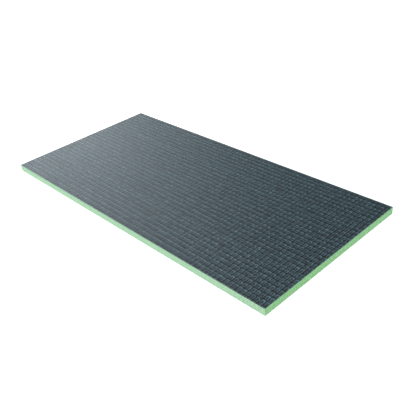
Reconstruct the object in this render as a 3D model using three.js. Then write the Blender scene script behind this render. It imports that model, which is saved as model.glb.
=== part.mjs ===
// Foam tile backer board: a rigid extruded-foam core with a thin skin of glass-mesh-reinforced
// cement bonded over the whole of each face, trimmed flush with the core on all four edges.
//
// Millimetres, +Z up. The origin is the centre of the underside, +X runs along the board's
// length and +Y across its width.

import * as THREE from "three";

// Driving dimensions: the board as it is sold
const BOARD_LENGTH = 1250;
const BOARD_WIDTH = 600;
const BOARD_THICKNESS = 25;

// Driving dimension: each cement facing, from the foam to the crests of its mesh relief
const FACING_THICKNESS = 0.75;

// Levels that the three layers meet at
const UNDERSIDE = 0;
const CORE_BOTTOM = UNDERSIDE + FACING_THICKNESS;
const CORE_TOP = UNDERSIDE + BOARD_THICKNESS - FACING_THICKNESS;
const TILE_FACE = UNDERSIDE + BOARD_THICKNESS;

// Foam cut square on all sides, matt and pale green
const foam = new THREE.MeshStandardMaterial({
  name: "extruded_polystyrene_foam",
  color: 0xa2d4a4,
  roughness: 0.85,
  metalness: 0,
});

// Polymer-modified cement over glass mesh, dark slate grey with a faint sheen
const cement = new THREE.MeshStandardMaterial({
  name: "mesh_reinforced_cement",
  color: 0x424e54,
  roughness: 0.6,
  metalness: 0,
});

// The board's outline, seen from above.
function boardOutline() {
  const halfLength = BOARD_LENGTH / 2;
  const halfWidth = BOARD_WIDTH / 2;
  return new THREE.Shape([
    new THREE.Vector2(-halfLength, -halfWidth),
    new THREE.Vector2(halfLength, -halfWidth),
    new THREE.Vector2(halfLength, halfWidth),
    new THREE.Vector2(-halfLength, halfWidth),
  ]);
}

// One layer of the laminate, filling the outline between two levels. Both faces take their
// level directly, so layers that share a level lie face to face with no gap and no overlap.
function layer(name, material, bottomLevel, topLevel) {
  const geometry = new THREE.ExtrudeGeometry(boardOutline(), { depth: 1, bevelEnabled: false });
  const position = geometry.getAttribute("position");
  for (let i = 0; i < position.count; i += 1) {
    position.setZ(i, position.getZ(i) === 0 ? bottomLevel : topLevel);
  }
  const mesh = new THREE.Mesh(geometry, material);
  mesh.name = name;
  return mesh;
}

const board = new THREE.Group();
board.name = "foam_tile_backer_board";
board.add(layer("bottom_facing", cement, UNDERSIDE, CORE_BOTTOM));
board.add(layer("foam_core", foam, CORE_BOTTOM, CORE_TOP));
board.add(layer("top_facing", cement, CORE_TOP, TILE_FACE));

export default board;
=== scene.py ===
import math

import bmesh
import bpy
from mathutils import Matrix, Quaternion, Vector


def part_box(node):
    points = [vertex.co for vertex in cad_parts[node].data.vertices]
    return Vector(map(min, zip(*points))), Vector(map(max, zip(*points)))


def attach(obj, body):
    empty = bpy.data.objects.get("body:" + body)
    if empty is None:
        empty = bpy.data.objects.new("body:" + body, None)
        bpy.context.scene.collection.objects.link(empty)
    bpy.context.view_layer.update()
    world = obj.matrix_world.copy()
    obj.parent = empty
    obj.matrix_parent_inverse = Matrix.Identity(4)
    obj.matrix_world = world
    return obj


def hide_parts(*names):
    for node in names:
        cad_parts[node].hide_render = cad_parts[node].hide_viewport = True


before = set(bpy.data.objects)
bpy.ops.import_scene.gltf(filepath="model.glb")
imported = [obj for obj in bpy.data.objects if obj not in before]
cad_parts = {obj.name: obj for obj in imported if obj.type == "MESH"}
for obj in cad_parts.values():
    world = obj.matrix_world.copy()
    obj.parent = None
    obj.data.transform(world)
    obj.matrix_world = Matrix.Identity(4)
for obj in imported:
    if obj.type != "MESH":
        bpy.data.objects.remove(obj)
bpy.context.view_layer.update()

# Foam tile backer board: an extruded-foam core with a mesh-reinforced cement coat on each face.
# The coats get the waffle that the glass mesh leaves in them, and the core its sawn edges.

MM = 0.001

# Tolerances: levels or places that count as the same, points that are welded, a point that lies on
# a face, and one that lies at a border
SAME = 0.001 * MM
WELD = 0.02 * MM
ON_FACE = 0.01 * MM
AT_BORDER = 0.1 * MM

# Digits that sizes in metres are rounded to, so that equal ones are found equal
DIGITS = 7

# How much of a direction has to lie along an axis for it to count as that axis
ALIGNED = 0.9

# Faces that meet at less than this angle are shaded smoothly
SMOOTH_ANGLE = math.radians(40)

# Glass mesh in the coats: yarns lie in pairs, with a narrow groove between the two of a pair and
# a dished opening from one pair to the next. After every 14 rows of openings comes a wide row, with
# a faint groove along its middle.
CELL_LENGTH = 15.78 * MM
CELL_WIDTH = 19.5 * MM
WIDE_CELL_WIDTH = 24.5 * MM
CELLS_BETWEEN_WIDE = 14
BLOCK_WIDTH = CELLS_BETWEEN_WIDE * CELL_WIDTH + WIDE_CELL_WIDTH

# The mesh starts outside the board's near left corner, and is cut off at the board's edges
FIRST_COLUMN_X = -635.5 * MM
FIRST_BLOCK_Y = -430.5 * MM
COLUMNS = 80
BLOCKS = 3

# Section of a cell: depth under the crests at distances in from the groove's middle line. The
# yarn lies from the shoulder to the foot, and past the foot is the dished mortar of the opening.
SECTION = (
    (0.0 * MM, 0.50 * MM),
    (1.2 * MM, 0.16 * MM),
    (2.2 * MM, 0.00 * MM),
    (3.1 * MM, 0.02 * MM),
    (5.0 * MM, 0.38 * MM),
    (5.8 * MM, 0.44 * MM),
    (9.8 * MM, 0.48 * MM),
)
YARN_FOOT = 5.0 * MM

# Where a cell is cut for its section, in from its borders
OFFSETS_ALONG = (2.2 * MM, 5.0 * MM)
OFFSETS_ACROSS = (1.2 * MM, 3.1 * MM, 5.8 * MM)
OFFSETS_HALF_WIDE = (1.2 * MM, 3.1 * MM, WIDE_CELL_WIDTH / 4)

# The faint groove is as shallow as the section is at this distance
FAINT_GROOVE = 1.2 * MM

# Where grooves cross they are deeper, and the yarns' corners are lower out to a reach from the grooves
CROSSING_EXTRA = 0.08 * MM
CORNER_ROUNDING = 0.05 * MM
CORNER_REACH = 4 * MM

# The openings' mortar lies deeper at the far right and shallower at the near left by shares of this
DRAG_DEPTH = 0.21 * MM

# No point of a coat's waffle lies deeper than this
RELIEF_LIMIT = 0.70 * MM

# Unevenness of the trowelled coat over the mesh, and how the yarns wander
SAG_SCALE = 11.0 * MM
SAG_HEIGHT = 0.24 * MM
WANDER_SCALE = 70.0 * MM
WANDER_WIDTH = 0.8 * MM

# Coat colours by distance in from the middle of the nearest groove, in millimetres: dark in the grooves
# and the openings as painted shade, and pale on the yarns, partly as rubbing and partly as a painted
# highlight. The distances are taken as a little shorter than they are, most of all along the board,
# where the grooves are wider, so that the painted shade of the grooves is widened.
COAT_COLOURS = (
    (0.0, 0x192125),
    (1.1, 0x1b2428),
    (2.3, 0x63838f),
    (3.7, 0x6b8f9c),
    (4.8, 0x30414a),
    (7.0, 0x2a3a42),
)
ALONG_SHARE = 0.82
ACROSS_SHARE = 0.93

# Distance over which the bands of two grooves that meet run into one another
CORNER_BLEND = 2 * MM

# The yarns on the right and far sides of each opening stand clear of the mortar and get a painted
# highlight: their colour is raised by these shares of itself, and that of the left and near ones lowered
# as painted shade. This sets in between two distances from the middle of a groove.
PAINTED_LIGHT_RIGHT = 0.33
PAINTED_LIGHT_FAR = 0.58
PAINTED_LIGHT_STARTS = 0.5 * MM
PAINTED_LIGHT_FULL = 2.5 * MM

# How far the mortar is smeared over its pattern, as a share of a cell, and the size of a smear
SMEAR = 0.45
SMEAR_SIZE = 6 * MM

# Cloudiness of the coat: the size of its clouds, how much paler or darker they are, and the noise
# levels of the darkest and the palest
CLOUD_SIZE = 11 * MM
CLOUD_GAIN = 0.45
CLOUD_RANGE = (0.3, 0.7)

# Sand in the cement. Real grains are too fine to show, so they are drawn this coarse.
SAND_GRAIN = 0.8 * MM
SAND_DEPTH = 0.08 * MM

# Sawn sides of the foam. The cuts divide them into squares of about 3 mm, those along the length and
# the width in two rounds. The middle level is that of the noise where a point would stay in place: it
# is less than 0, so every point goes inwards.
SAW_CUTS_LENGTH = (20, 19)
SAW_CUTS_WIDTH = (13, 14)
SAW_CUTS_HEIGHT = (7,)
SAW_SCALE = 5.0 * MM
SAW_DEPTH = 0.20 * MM
SAW_MIDDLE_LEVEL = -0.35

# Faces with at least this share of their direction along the board belong to its short ends
END_FACING = 0.7

# Foam finishes: the blotches' dark and pale colours, their size, and the depth of the torn cells. The
# first is for the long sides and the second for the short ends, which look more coarsely torn. The two
# are lit and shaded copies of one green: the long sides' colours are paler and whiter as a painted
# sheen, and the ends' deeper green is painted shade. The range holds the noise levels of the darkest and
# the palest blotch.
FOAM_FINISHES = (
    ("side_foam_painted_sheen", 0x9ed6a2, 0xd6fadb, 5 * MM, 0.06 * MM),
    ("end_foam_painted_shade", 0x66be68, 0xc4f6c0, 4 * MM, 0.12 * MM),
)
BLOTCH_RANGE = (0.36, 0.64)

# Closed cells of the foam. Real ones are too fine to show, so they are drawn this coarse. A cell is
# brighter than the foam's colour in its middle, and darkest from a share of its size outwards.
FOAM_CELL = 0.8 * MM
CELL_MIDDLE_GAIN = 1.17
CELL_BORDER_GAIN = 0.90
CELL_BORDER = 0.7

# Camera: looking down at the board from beyond its front right corner. Lens and sensor in millimetres.
CAMERA_LENS = 50
CAMERA_SENSOR = 36
CAMERA_PLACE = Vector((1359.6, -1096.8, 1027.3)) * MM
CAMERA_AIM = Vector((146.5, -35.9, 0)) * MM
CAMERA_ROLL = math.radians(-5.765)

# Softboxes: compass direction from +X towards +Y and height above the floor in degrees, and watts.
# All have one size, in metres, and one distance from the board's middle.
SOFTBOXES = (
    ("raking_softbox", 185, 22, 150),
    ("sheen_softbox", 160, 14, 62),
    ("back_softbox", 145, 14, 10),
    ("high_softbox", 150, 35, 35),
)
SOFTBOX_SIZE = (2.0, 1.2)
SOFTBOX_DISTANCE = 6.0
COOL_WHITE = 0xf4fbff

# Floor and surroundings: the floor's size in metres and glow, and how strongly the surroundings light
# the board
FLOOR_SIZE = 30
FLOOR_GLOW = 1.0
SURROUNDING_LIGHT = 0.235


def start_piece():
    """Nothing selected, so that the next operator acts on its own piece alone."""
    if bpy.context.object and bpy.context.object.mode != "OBJECT":
        bpy.ops.object.mode_set(mode="OBJECT")
    bpy.ops.object.select_all(action="DESELECT")


def make_active(piece):
    """The one selected and active object."""
    start_piece()
    piece.select_set(True)
    bpy.context.view_layer.objects.active = piece


def pick_points(piece, wanted):
    """In edit mode: selects the vertices whose place passes, and no others."""
    bpy.ops.mesh.select_mode(type="VERT")
    bpy.ops.mesh.select_all(action="DESELECT")
    shape = bmesh.from_edit_mesh(piece.data)
    for point in shape.verts:
        point.select_set(bool(wanted(point.co)))
    shape.select_flush(True)
    bmesh.update_edit_mesh(piece.data)


def pick_edges(piece, wanted):
    """In edit mode: selects the edges whose middle and direction pass, and no others."""
    bpy.ops.mesh.select_mode(type="EDGE")
    bpy.ops.mesh.select_all(action="DESELECT")
    shape = bmesh.from_edit_mesh(piece.data)
    for edge in shape.edges:
        first, last = edge.verts
        edge.select_set(bool(wanted((first.co + last.co) / 2, (last.co - first.co).normalized())))
    bmesh.update_edit_mesh(piece.data)


def pick_faces(piece, wanted):
    """In edit mode: selects the faces whose normal passes, and no others."""
    bpy.ops.mesh.select_mode(type="FACE")
    bpy.ops.mesh.select_all(action="DESELECT")
    shape = bmesh.from_edit_mesh(piece.data)
    for face in shape.faces:
        face.select_set(bool(wanted(face.normal)))
    bmesh.update_edit_mesh(piece.data)


def cut_across(axis, level, outward=1, clear=False):
    """In edit mode: cuts the whole piece at a level of an axis. clear takes off what lies outward."""
    place = Vector((0, 0, 0))
    place[axis] = level
    facing = Vector((0, 0, 0))
    facing[axis] = outward
    bpy.ops.mesh.select_all(action="SELECT")
    bpy.ops.mesh.bisect(plane_co=place, plane_no=facing, clear_outer=clear, threshold=SAME)


def shift_points(piece, move):
    """Moves a whole piece's points."""
    make_active(piece)
    bpy.ops.object.mode_set(mode="EDIT")
    bpy.ops.mesh.select_all(action="SELECT")
    bpy.ops.transform.translate(value=move)
    bpy.ops.object.mode_set(mode="OBJECT")


def apply_modifier(piece, kind, **settings):
    """Adds a modifier with its settings and applies it."""
    modifier = piece.modifiers.new(kind.lower(), kind)
    for key, value in settings.items():
        setattr(modifier, key, value)
    bpy.ops.object.modifier_apply(modifier=modifier.name)


def repeat(piece, count, step):
    """A row of copies, each welded to the next."""
    apply_modifier(
        piece, "ARRAY", count=count, use_relative_offset=False, use_constant_offset=True,
        constant_offset_displace=step, use_merge_vertices=True, merge_threshold=WELD,
    )


def roughen(piece, axis, scale, height, mid_level=0.5, group=""):
    """Moves the surface along one axis by soft noise of that scale, height from lowest to highest."""
    noise = bpy.data.textures.new("unevenness", "CLOUDS")
    noise.noise_scale = scale
    noise.noise_depth = 1
    apply_modifier(
        piece, "DISPLACE", texture=noise, texture_coords="LOCAL", direction=axis, strength=height,
        mid_level=mid_level, vertex_group=group,
    )
    bpy.data.textures.remove(noise)


def depth_at(distance):
    """Depth of the section at a distance in from a groove's middle."""
    for (start, start_depth), (end, end_depth) in zip(SECTION, SECTION[1:]):
        if distance <= end:
            share = (distance - start) / (end - start)
            return start_depth + share * (end_depth - start_depth)
    return SECTION[-1][1]


def mesh_cell(name, width, offsets, near_start=0.0, far_start=0.0):
    """One opening of the mesh with a yarn along each side, cut from a flat sheet at the crests' level.
    near_start and far_start are more than 0 where the groove at that border is a faint one."""
    start_piece()
    bpy.ops.mesh.primitive_plane_add(size=1)
    cell = bpy.context.object
    cell.name = name
    bpy.ops.object.mode_set(mode="EDIT")
    bpy.ops.transform.resize(value=(CELL_LENGTH, width, 1))
    bpy.ops.transform.translate(value=(CELL_LENGTH / 2, width / 2, 0))
    for axis, size, steps in ((0, CELL_LENGTH, OFFSETS_ALONG), (1, width, offsets)):
        for station in sorted({round(value, DIGITS) for step in steps for value in (step, size - step)}):
            cut_across(axis, station)

    def depth(place):
        """How deep a point lies: the section, with deeper crossings and lower corners. The trowel
        dragged the mortar of each opening towards its near left corner, so it is deepest by the far
        right one."""
        along = min(place.x, CELL_LENGTH - place.x)
        across = min(place.y + near_start, width - place.y + far_start)
        inwards = min(along, across)
        if max(along, across) < AT_BORDER:
            return depth_at(0) + CROSSING_EXTRA
        if inwards > YARN_FOOT - AT_BORDER:
            drag = (place.x / CELL_LENGTH + place.y / width - 1) * 2
            return depth_at(inwards) + drag * DRAG_DEPTH
        at_corner = AT_BORDER < inwards and max(along, across) < CORNER_REACH
        return depth_at(inwards) + (CORNER_ROUNDING if at_corner else 0)

    levels = {round(depth(point.co), DIGITS) for point in bmesh.from_edit_mesh(cell.data).verts}
    for level in sorted(levels):
        pick_points(cell, lambda place: place.z == 0 and abs(depth(place) - level) < SAME)
        bpy.ops.transform.translate(value=(0, 0, -level))
    bpy.ops.object.mode_set(mode="OBJECT")
    for corner in cell.data.uv_layers.active.data:
        corner.uv.y = (corner.uv.y * width + near_start) / (width + near_start + far_start)
    return cell


def mesh_sheet():
    """The waffle over a little more than the board's face: rows in blocks, each ending in a wide row."""
    half_wide = WIDE_CELL_WIDTH / 2
    wide_row_start = CELLS_BETWEEN_WIDE * CELL_WIDTH
    near_half = mesh_cell("near_half", half_wide, OFFSETS_HALF_WIDE, far_start=FAINT_GROOVE)
    shift_points(near_half, (0, wide_row_start, 0))
    far_half = mesh_cell("far_half", half_wide, OFFSETS_HALF_WIDE, near_start=FAINT_GROOVE)
    shift_points(far_half, (0, wide_row_start + half_wide, 0))
    sheet = mesh_cell("waffle", CELL_WIDTH, OFFSETS_ACROSS)
    repeat(sheet, CELLS_BETWEEN_WIDE, (0, CELL_WIDTH, 0))
    near_half.select_set(True)
    far_half.select_set(True)
    bpy.ops.object.join()
    bpy.ops.object.mode_set(mode="EDIT")
    bpy.ops.mesh.select_all(action="SELECT")
    bpy.ops.mesh.remove_doubles(threshold=WELD)
    bpy.ops.transform.translate(value=(FIRST_COLUMN_X, FIRST_BLOCK_Y, 0))
    bpy.ops.object.mode_set(mode="OBJECT")
    repeat(sheet, BLOCKS, (0, BLOCK_WIDTH, 0))
    repeat(sheet, COLUMNS, (CELL_LENGTH, 0, 0))
    return sheet


def cement_facing(name, node, side):
    """A coat over one face of the core. side is 1 for the upper face and -1 for the lower. The lower
    one is made facing up and then mirrored."""
    low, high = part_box(node)
    outer, inner = (high[2], low[2]) if side > 0 else (low[2], high[2])
    coat = mesh_sheet()
    coat.name = name
    shift_points(coat, (0, 0, outer))
    roughen(coat, "X", WANDER_SCALE, WANDER_WIDTH)
    roughen(coat, "Y", WANDER_SCALE, WANDER_WIDTH)
    roughen(coat, "Z", SAG_SCALE, SAG_HEIGHT)

    # The highest point comes to lie in the face of the part, and what is too deep is brought level
    highest = max(point.co.z for point in coat.data.vertices)
    bpy.ops.object.mode_set(mode="EDIT")
    bpy.ops.mesh.select_all(action="SELECT")
    bpy.ops.transform.translate(value=(0, 0, outer - highest))
    pick_points(coat, lambda place: place.z < outer - RELIEF_LIMIT)
    bpy.ops.transform.resize(value=(1, 1, 0), center_override=(0, 0, outer - RELIEF_LIMIT))
    for axis, level, outward in ((0, low[0], -1), (0, high[0], 1), (1, low[1], -1), (1, high[1], 1)):
        cut_across(axis, level, outward, clear=True)
    if side < 0:
        bpy.ops.mesh.select_all(action="SELECT")
        bpy.ops.transform.resize(value=(1, 1, -1), center_override=(0, 0, outer))

    # The sheet's rim is drawn out to the level of the core's face and closed there
    bpy.ops.mesh.select_mode(type="EDGE")
    bpy.ops.mesh.select_all(action="DESELECT")
    bpy.ops.mesh.select_non_manifold(
        extend=False, use_wire=False, use_multi_face=False, use_non_contiguous=False, use_verts=False,
    )
    bpy.ops.mesh.extrude_edges_move(TRANSFORM_OT_translate={"value": (0, 0, inner - outer)})
    bpy.ops.transform.resize(value=(1, 1, 0), center_override=(0, 0, inner))
    bpy.ops.mesh.edge_face_add()
    bpy.ops.mesh.select_all(action="SELECT")
    bpy.ops.mesh.normals_make_consistent(inside=False)
    bpy.ops.object.mode_set(mode="OBJECT")
    bpy.ops.object.shade_smooth_by_angle(angle=SMOOTH_ANGLE)
    return coat


def foam_core(name, node):
    """The foam slab, with the shallow unevenness of a saw cut in its four sides."""
    low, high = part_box(node)
    middle = (Vector(low) + Vector(high)) / 2
    size = Vector(high) - Vector(low)
    start_piece()
    bpy.ops.mesh.primitive_cube_add(size=1)
    core = bpy.context.object
    core.name = name
    bpy.ops.object.mode_set(mode="EDIT")
    bpy.ops.transform.resize(value=size)
    bpy.ops.transform.translate(value=middle)
    pick_faces(core, lambda normal: abs(normal.z) > ALIGNED)
    bpy.ops.mesh.delete(type="ONLY_FACE")
    for axis, cuts in ((0, SAW_CUTS_LENGTH), (1, SAW_CUTS_WIDTH), (2, SAW_CUTS_HEIGHT)):
        for number in cuts:
            pick_edges(core, lambda place, way: abs(way[axis]) > ALIGNED)
            bpy.ops.mesh.subdivide(number_cuts=number)
    bpy.ops.object.mode_set(mode="OBJECT")

    # Each side is roughened inside its edges, which stay straight
    for axis, letter in ((0, "X"), (1, "Y")):
        for level, inward in ((low[axis], 1), (high[axis], -1)):
            other = 1 - axis
            group = core.vertex_groups.new(name="side")
            cut_points = [
                point.index for point in core.data.vertices
                if abs(point.co[axis] - level) < ON_FACE
                and low[other] + AT_BORDER < point.co[other] < high[other] - AT_BORDER
                and low[2] + AT_BORDER < point.co.z < high[2] - AT_BORDER
            ]
            group.add(cut_points, 1, "REPLACE")
            roughen(core, letter, SAW_SCALE, inward * SAW_DEPTH, SAW_MIDDLE_LEVEL, group.name)
            core.vertex_groups.clear()
    bpy.ops.object.mode_set(mode="EDIT")
    for level in (low[2], high[2]):
        pick_edges(core, lambda place, way: abs(place.z - level) < ON_FACE)
        bpy.ops.mesh.edge_face_add()
    bpy.ops.mesh.select_all(action="SELECT")
    bpy.ops.mesh.normals_make_consistent(inside=False)
    bpy.ops.object.mode_set(mode="OBJECT")
    bpy.ops.object.shade_smooth_by_angle(angle=SMOOTH_ANGLE)
    return core


def linear(code):
    """A display colour such as 0x3a454b as the linear colour that shaders take."""
    colour = []
    for shift in (16, 8, 0):
        level = ((code >> shift) & 255) / 255
        colour.append(level / 12.92 if level <= 0.04045 else ((level + 0.055) / 1.055) ** 2.4)
    return (*colour, 1)


def add_node(tree, kind, inputs=None, **settings):
    """A node with its settings. Each input is a value, or the socket that feeds it."""
    node = tree.nodes.new(kind)
    for key, value in settings.items():
        setattr(node, key, value)
    for socket, value in (inputs or {}).items():
        if isinstance(value, bpy.types.NodeSocket):
            tree.links.new(value, node.inputs[socket])
        else:
            node.inputs[socket].default_value = value
    return node


def set_ramp(node, stops):
    """Gives a colour ramp its stops, each a position from 0 to 1 and a display colour."""
    elements = node.color_ramp.elements
    while len(elements) < len(stops):
        elements.new(1.0)
    for element, (position, code) in zip(elements, stops):
        element.position = position
        element.color = linear(code)


def new_material(name):
    """An empty node material, with its tree and its principled shader."""
    material = bpy.data.materials.new(name)
    material.use_nodes = True
    tree = material.node_tree
    tree.nodes.clear()
    shader = add_node(tree, "ShaderNodeBsdfPrincipled")
    add_node(tree, "ShaderNodeOutputMaterial", {"Surface": shader.outputs["BSDF"]})
    return material, tree, shader


def polymer_cement():
    """Polymer-modified cement, trowelled over glass mesh: slate grey with a dull skin. Its colour has
    painted shade in the grooves and the openings, and is paler on the yarns, partly as rubbing and partly
    as a painted highlight that is brightest on the far and right yarns. Fine sand gives it a grain.
    The pattern follows the UV map, where every cell of the mesh runs from 0 to 1."""
    material, tree, shader = new_material("polymer_cement_coat")
    coordinates = add_node(tree, "ShaderNodeTexCoord").outputs

    # The place in the cell, smeared a little
    smears = add_node(
        tree, "ShaderNodeTexNoise",
        {"Vector": coordinates["Object"], "Scale": 1 / SMEAR_SIZE, "Detail": 2},
    )
    smear = add_node(
        tree, "ShaderNodeVectorMath", {0: smears.outputs["Color"], 1: (0.5, 0.5, 0.5)},
        operation="SUBTRACT",
    )
    warped = add_node(
        tree, "ShaderNodeVectorMath",
        {0: smear.outputs[0], 1: (SMEAR, SMEAR, 0), 2: coordinates["UV"]}, operation="MULTIPLY_ADD",
    )
    split = add_node(tree, "ShaderNodeSeparateXYZ", {0: warped.outputs[0]})

    # The distance in from the nearest groove, and the coat's colour there: painted shade in the grooves
    # and openings, and a painted highlight on the yarns
    reaches = []
    for axis, size in (("X", CELL_LENGTH * ALONG_SHARE), ("Y", CELL_WIDTH * ACROSS_SHARE)):
        share = add_node(tree, "ShaderNodeMath", {0: split.outputs[axis], 1: 0.5}, operation="PINGPONG")
        reach = add_node(tree, "ShaderNodeMath", {0: share.outputs[0], 1: size}, operation="MULTIPLY")
        reaches.append(reach.outputs[0])
    inward = add_node(
        tree, "ShaderNodeMath", {0: reaches[0], 1: reaches[1], 2: CORNER_BLEND},
        operation="SMOOTH_MIN",
    ).outputs[0]
    furthest = COAT_COLOURS[-1][0]
    place = add_node(tree, "ShaderNodeMapRange", {"Value": inward, "From Max": furthest * MM})
    coat = add_node(tree, "ShaderNodeValToRGB", {"Fac": place.outputs[0]})
    set_ramp(coat, [(stop / furthest, code) for stop, code in COAT_COLOURS])

    # Painted light: the yarns are raised in colour at the far and right sides of a cell, and lowered as
    # painted shade at the others
    far_side = add_node(
        tree, "ShaderNodeMath",
        {0: split.outputs["Y"], 1: 2 * PAINTED_LIGHT_FAR, 2: -PAINTED_LIGHT_FAR - PAINTED_LIGHT_RIGHT},
        operation="MULTIPLY_ADD",
    )
    both_sides = add_node(
        tree, "ShaderNodeMath", {0: split.outputs["X"], 1: 2 * PAINTED_LIGHT_RIGHT, 2: far_side.outputs[0]},
        operation="MULTIPLY_ADD",
    )
    on_yarn = add_node(
        tree, "ShaderNodeMapRange",
        {"Value": inward, "From Min": PAINTED_LIGHT_STARTS, "From Max": PAINTED_LIGHT_FULL},
    )
    painted_side_light = add_node(
        tree, "ShaderNodeMath", {0: both_sides.outputs[0], 1: on_yarn.outputs[0], 2: 1.0},
        operation="MULTIPLY_ADD",
    )
    clouds = add_node(
        tree, "ShaderNodeTexNoise",
        {"Vector": coordinates["Object"], "Scale": 1 / CLOUD_SIZE, "Detail": 4},
    )
    mottle = add_node(
        tree, "ShaderNodeMapRange",
        {
            "Value": clouds.outputs["Fac"], "From Min": CLOUD_RANGE[0], "From Max": CLOUD_RANGE[1],
            "To Min": 1 - CLOUD_GAIN, "To Max": 1 + CLOUD_GAIN,
        },
    )
    value = add_node(
        tree, "ShaderNodeMath", {0: painted_side_light.outputs[0], 1: mottle.outputs[0]}, operation="MULTIPLY",
    )
    skin = add_node(tree, "ShaderNodeHueSaturation", {"Value": value.outputs[0], "Color": coat.outputs[0]})
    tree.links.new(skin.outputs[0], shader.inputs["Base Color"])
    shader.inputs["Roughness"].default_value = 0.5
    shader.inputs["IOR"].default_value = 1.5
    sand = add_node(
        tree, "ShaderNodeTexNoise",
        {"Vector": coordinates["Object"], "Scale": 1 / SAND_GRAIN, "Detail": 2},
    )
    grain = add_node(
        tree, "ShaderNodeBump", {"Height": sand.outputs["Fac"], "Strength": 0.4, "Distance": SAND_DEPTH},
    )
    tree.links.new(grain.outputs[0], shader.inputs["Normal"])
    return material


def polystyrene_foam(name, dark, pale, blotch_size, tear_depth):
    """Extruded polystyrene foam, cut with a saw: pale green, and matt from its high roughness. The long
    sides' finish is paler as a painted sheen, and the ends' deeper green is painted shade. Cells that were
    torn open make it blotched and speckled, and give it a fine relief."""
    material, tree, shader = new_material(name)
    coordinates = add_node(tree, "ShaderNodeTexCoord").outputs
    blotches = add_node(
        tree, "ShaderNodeTexNoise",
        {"Vector": coordinates["Object"], "Scale": 1 / blotch_size, "Detail": 8, "Roughness": 0.65},
    )
    contrast = add_node(
        tree, "ShaderNodeMapRange",
        {
            "Value": blotches.outputs["Fac"],
            "From Min": BLOTCH_RANGE[0], "From Max": BLOTCH_RANGE[1],
        },
    )
    colour = add_node(
        tree, "ShaderNodeMixRGB",
        {"Fac": contrast.outputs[0], "Color1": linear(dark), "Color2": linear(pale)},
    )
    cells = add_node(
        tree, "ShaderNodeTexVoronoi", {"Vector": coordinates["Object"], "Scale": 1 / FOAM_CELL},
    )
    shade = add_node(
        tree, "ShaderNodeMapRange",
        {
            "Value": cells.outputs["Distance"], "From Max": CELL_BORDER,
            "To Min": CELL_MIDDLE_GAIN, "To Max": CELL_BORDER_GAIN,
        },
    )
    speckled = add_node(
        tree, "ShaderNodeHueSaturation", {"Value": shade.outputs[0], "Color": colour.outputs[0]},
    )
    tree.links.new(speckled.outputs[0], shader.inputs["Base Color"])
    shader.inputs["Roughness"].default_value = 0.8
    shader.inputs["IOR"].default_value = 1.5
    bump = add_node(
        tree, "ShaderNodeBump",
        {"Height": cells.outputs["Distance"], "Strength": 0.5, "Distance": tear_depth},
    )
    tree.links.new(bump.outputs[0], shader.inputs["Normal"])
    return material


def dress(piece, materials, node):
    """Gives a finished piece its materials and its place in the frame."""
    piece.data.materials.clear()
    for material in materials:
        piece.data.materials.append(material)
    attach(piece, "root")
    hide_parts(node)


def finish_ends(piece):
    """Gives the faces of the two short ends the piece's second material."""
    make_active(piece)
    bpy.ops.object.mode_set(mode="EDIT")
    pick_faces(piece, lambda normal: abs(normal.x) > END_FACING)
    piece.active_material_index = 1
    bpy.ops.object.material_slot_assign()
    bpy.ops.object.mode_set(mode="OBJECT")


def place_camera():
    """The photograph's viewpoint."""
    data = bpy.data.cameras.new("camera")
    data.lens = CAMERA_LENS
    data.sensor_width = CAMERA_SENSOR
    camera = bpy.data.objects.new("camera", data)
    turn = (CAMERA_AIM - CAMERA_PLACE).to_track_quat("-Z", "Y") @ Quaternion((0, 0, 1), CAMERA_ROLL)
    camera.location = CAMERA_PLACE
    camera.rotation_euler = turn.to_euler()
    bpy.context.collection.objects.link(camera)
    bpy.context.scene.camera = camera


def softbox(name, azimuth, elevation, watts):
    """A large soft light, aimed at the board's middle from a compass direction."""
    data = bpy.data.lights.new(name, "AREA")
    data.shape = "RECTANGLE"
    data.size, data.size_y = SOFTBOX_SIZE
    data.energy = watts
    data.color = linear(COOL_WHITE)[:3]
    light = bpy.data.objects.new(name, data)
    around, up = math.radians(azimuth), math.radians(elevation)
    way = Vector((math.cos(around) * math.cos(up), math.sin(around) * math.cos(up), math.sin(up)))
    light.location = way * SOFTBOX_DISTANCE
    light.rotation_euler = (-light.location).to_track_quat("-Z", "Y").to_euler()
    bpy.context.collection.objects.link(light)


def studio():
    """A plain white floor and surroundings, and softboxes from the left and the back left. The first
    rakes over the coat and the low one behind it gives the sheen. The floor glows, so that it stays
    white with no shadow. The surroundings are white to the camera and light the board weakly."""
    start_piece()
    bpy.ops.mesh.primitive_plane_add(size=FLOOR_SIZE)
    floor = bpy.context.object
    floor.name = "floor"
    material, _, shader = new_material("studio_floor")
    shader.inputs["Base Color"].default_value = linear(0xf4f4f4)
    shader.inputs["Roughness"].default_value = 0.9
    shader.inputs["Specular IOR Level"].default_value = 0.2
    shader.inputs["Emission Color"].default_value = linear(0xffffff)
    shader.inputs["Emission Strength"].default_value = FLOOR_GLOW
    floor.data.materials.append(material)
    world = bpy.data.worlds.new("studio_white")
    world.use_nodes = True
    tree = world.node_tree
    seen = add_node(tree, "ShaderNodeLightPath").outputs["Is Camera Ray"]
    strength = add_node(
        tree, "ShaderNodeMapRange", {"Value": seen, "To Min": SURROUNDING_LIGHT, "To Max": 1.0},
    )
    background = tree.nodes["Background"]
    background.inputs["Color"].default_value = linear(0xffffff)
    tree.links.new(strength.outputs[0], background.inputs["Strength"])
    bpy.context.scene.world = world
    for name, azimuth, elevation, watts in SOFTBOXES:
        softbox(name, azimuth, elevation, watts)
    bpy.context.scene.view_settings.view_transform = "Standard"


place_camera()
cement = polymer_cement()
foams = [polystyrene_foam(*finish) for finish in FOAM_FINISHES]
core = foam_core("sawn_foam_core", "foam_core")
dress(core, foams, "foam_core")
finish_ends(core)
dress(cement_facing("tile_face_coat", "top_facing", 1), (cement,), "top_facing")
dress(cement_facing("bedding_face_coat", "bottom_facing", -1), (cement,), "bottom_facing")
studio()
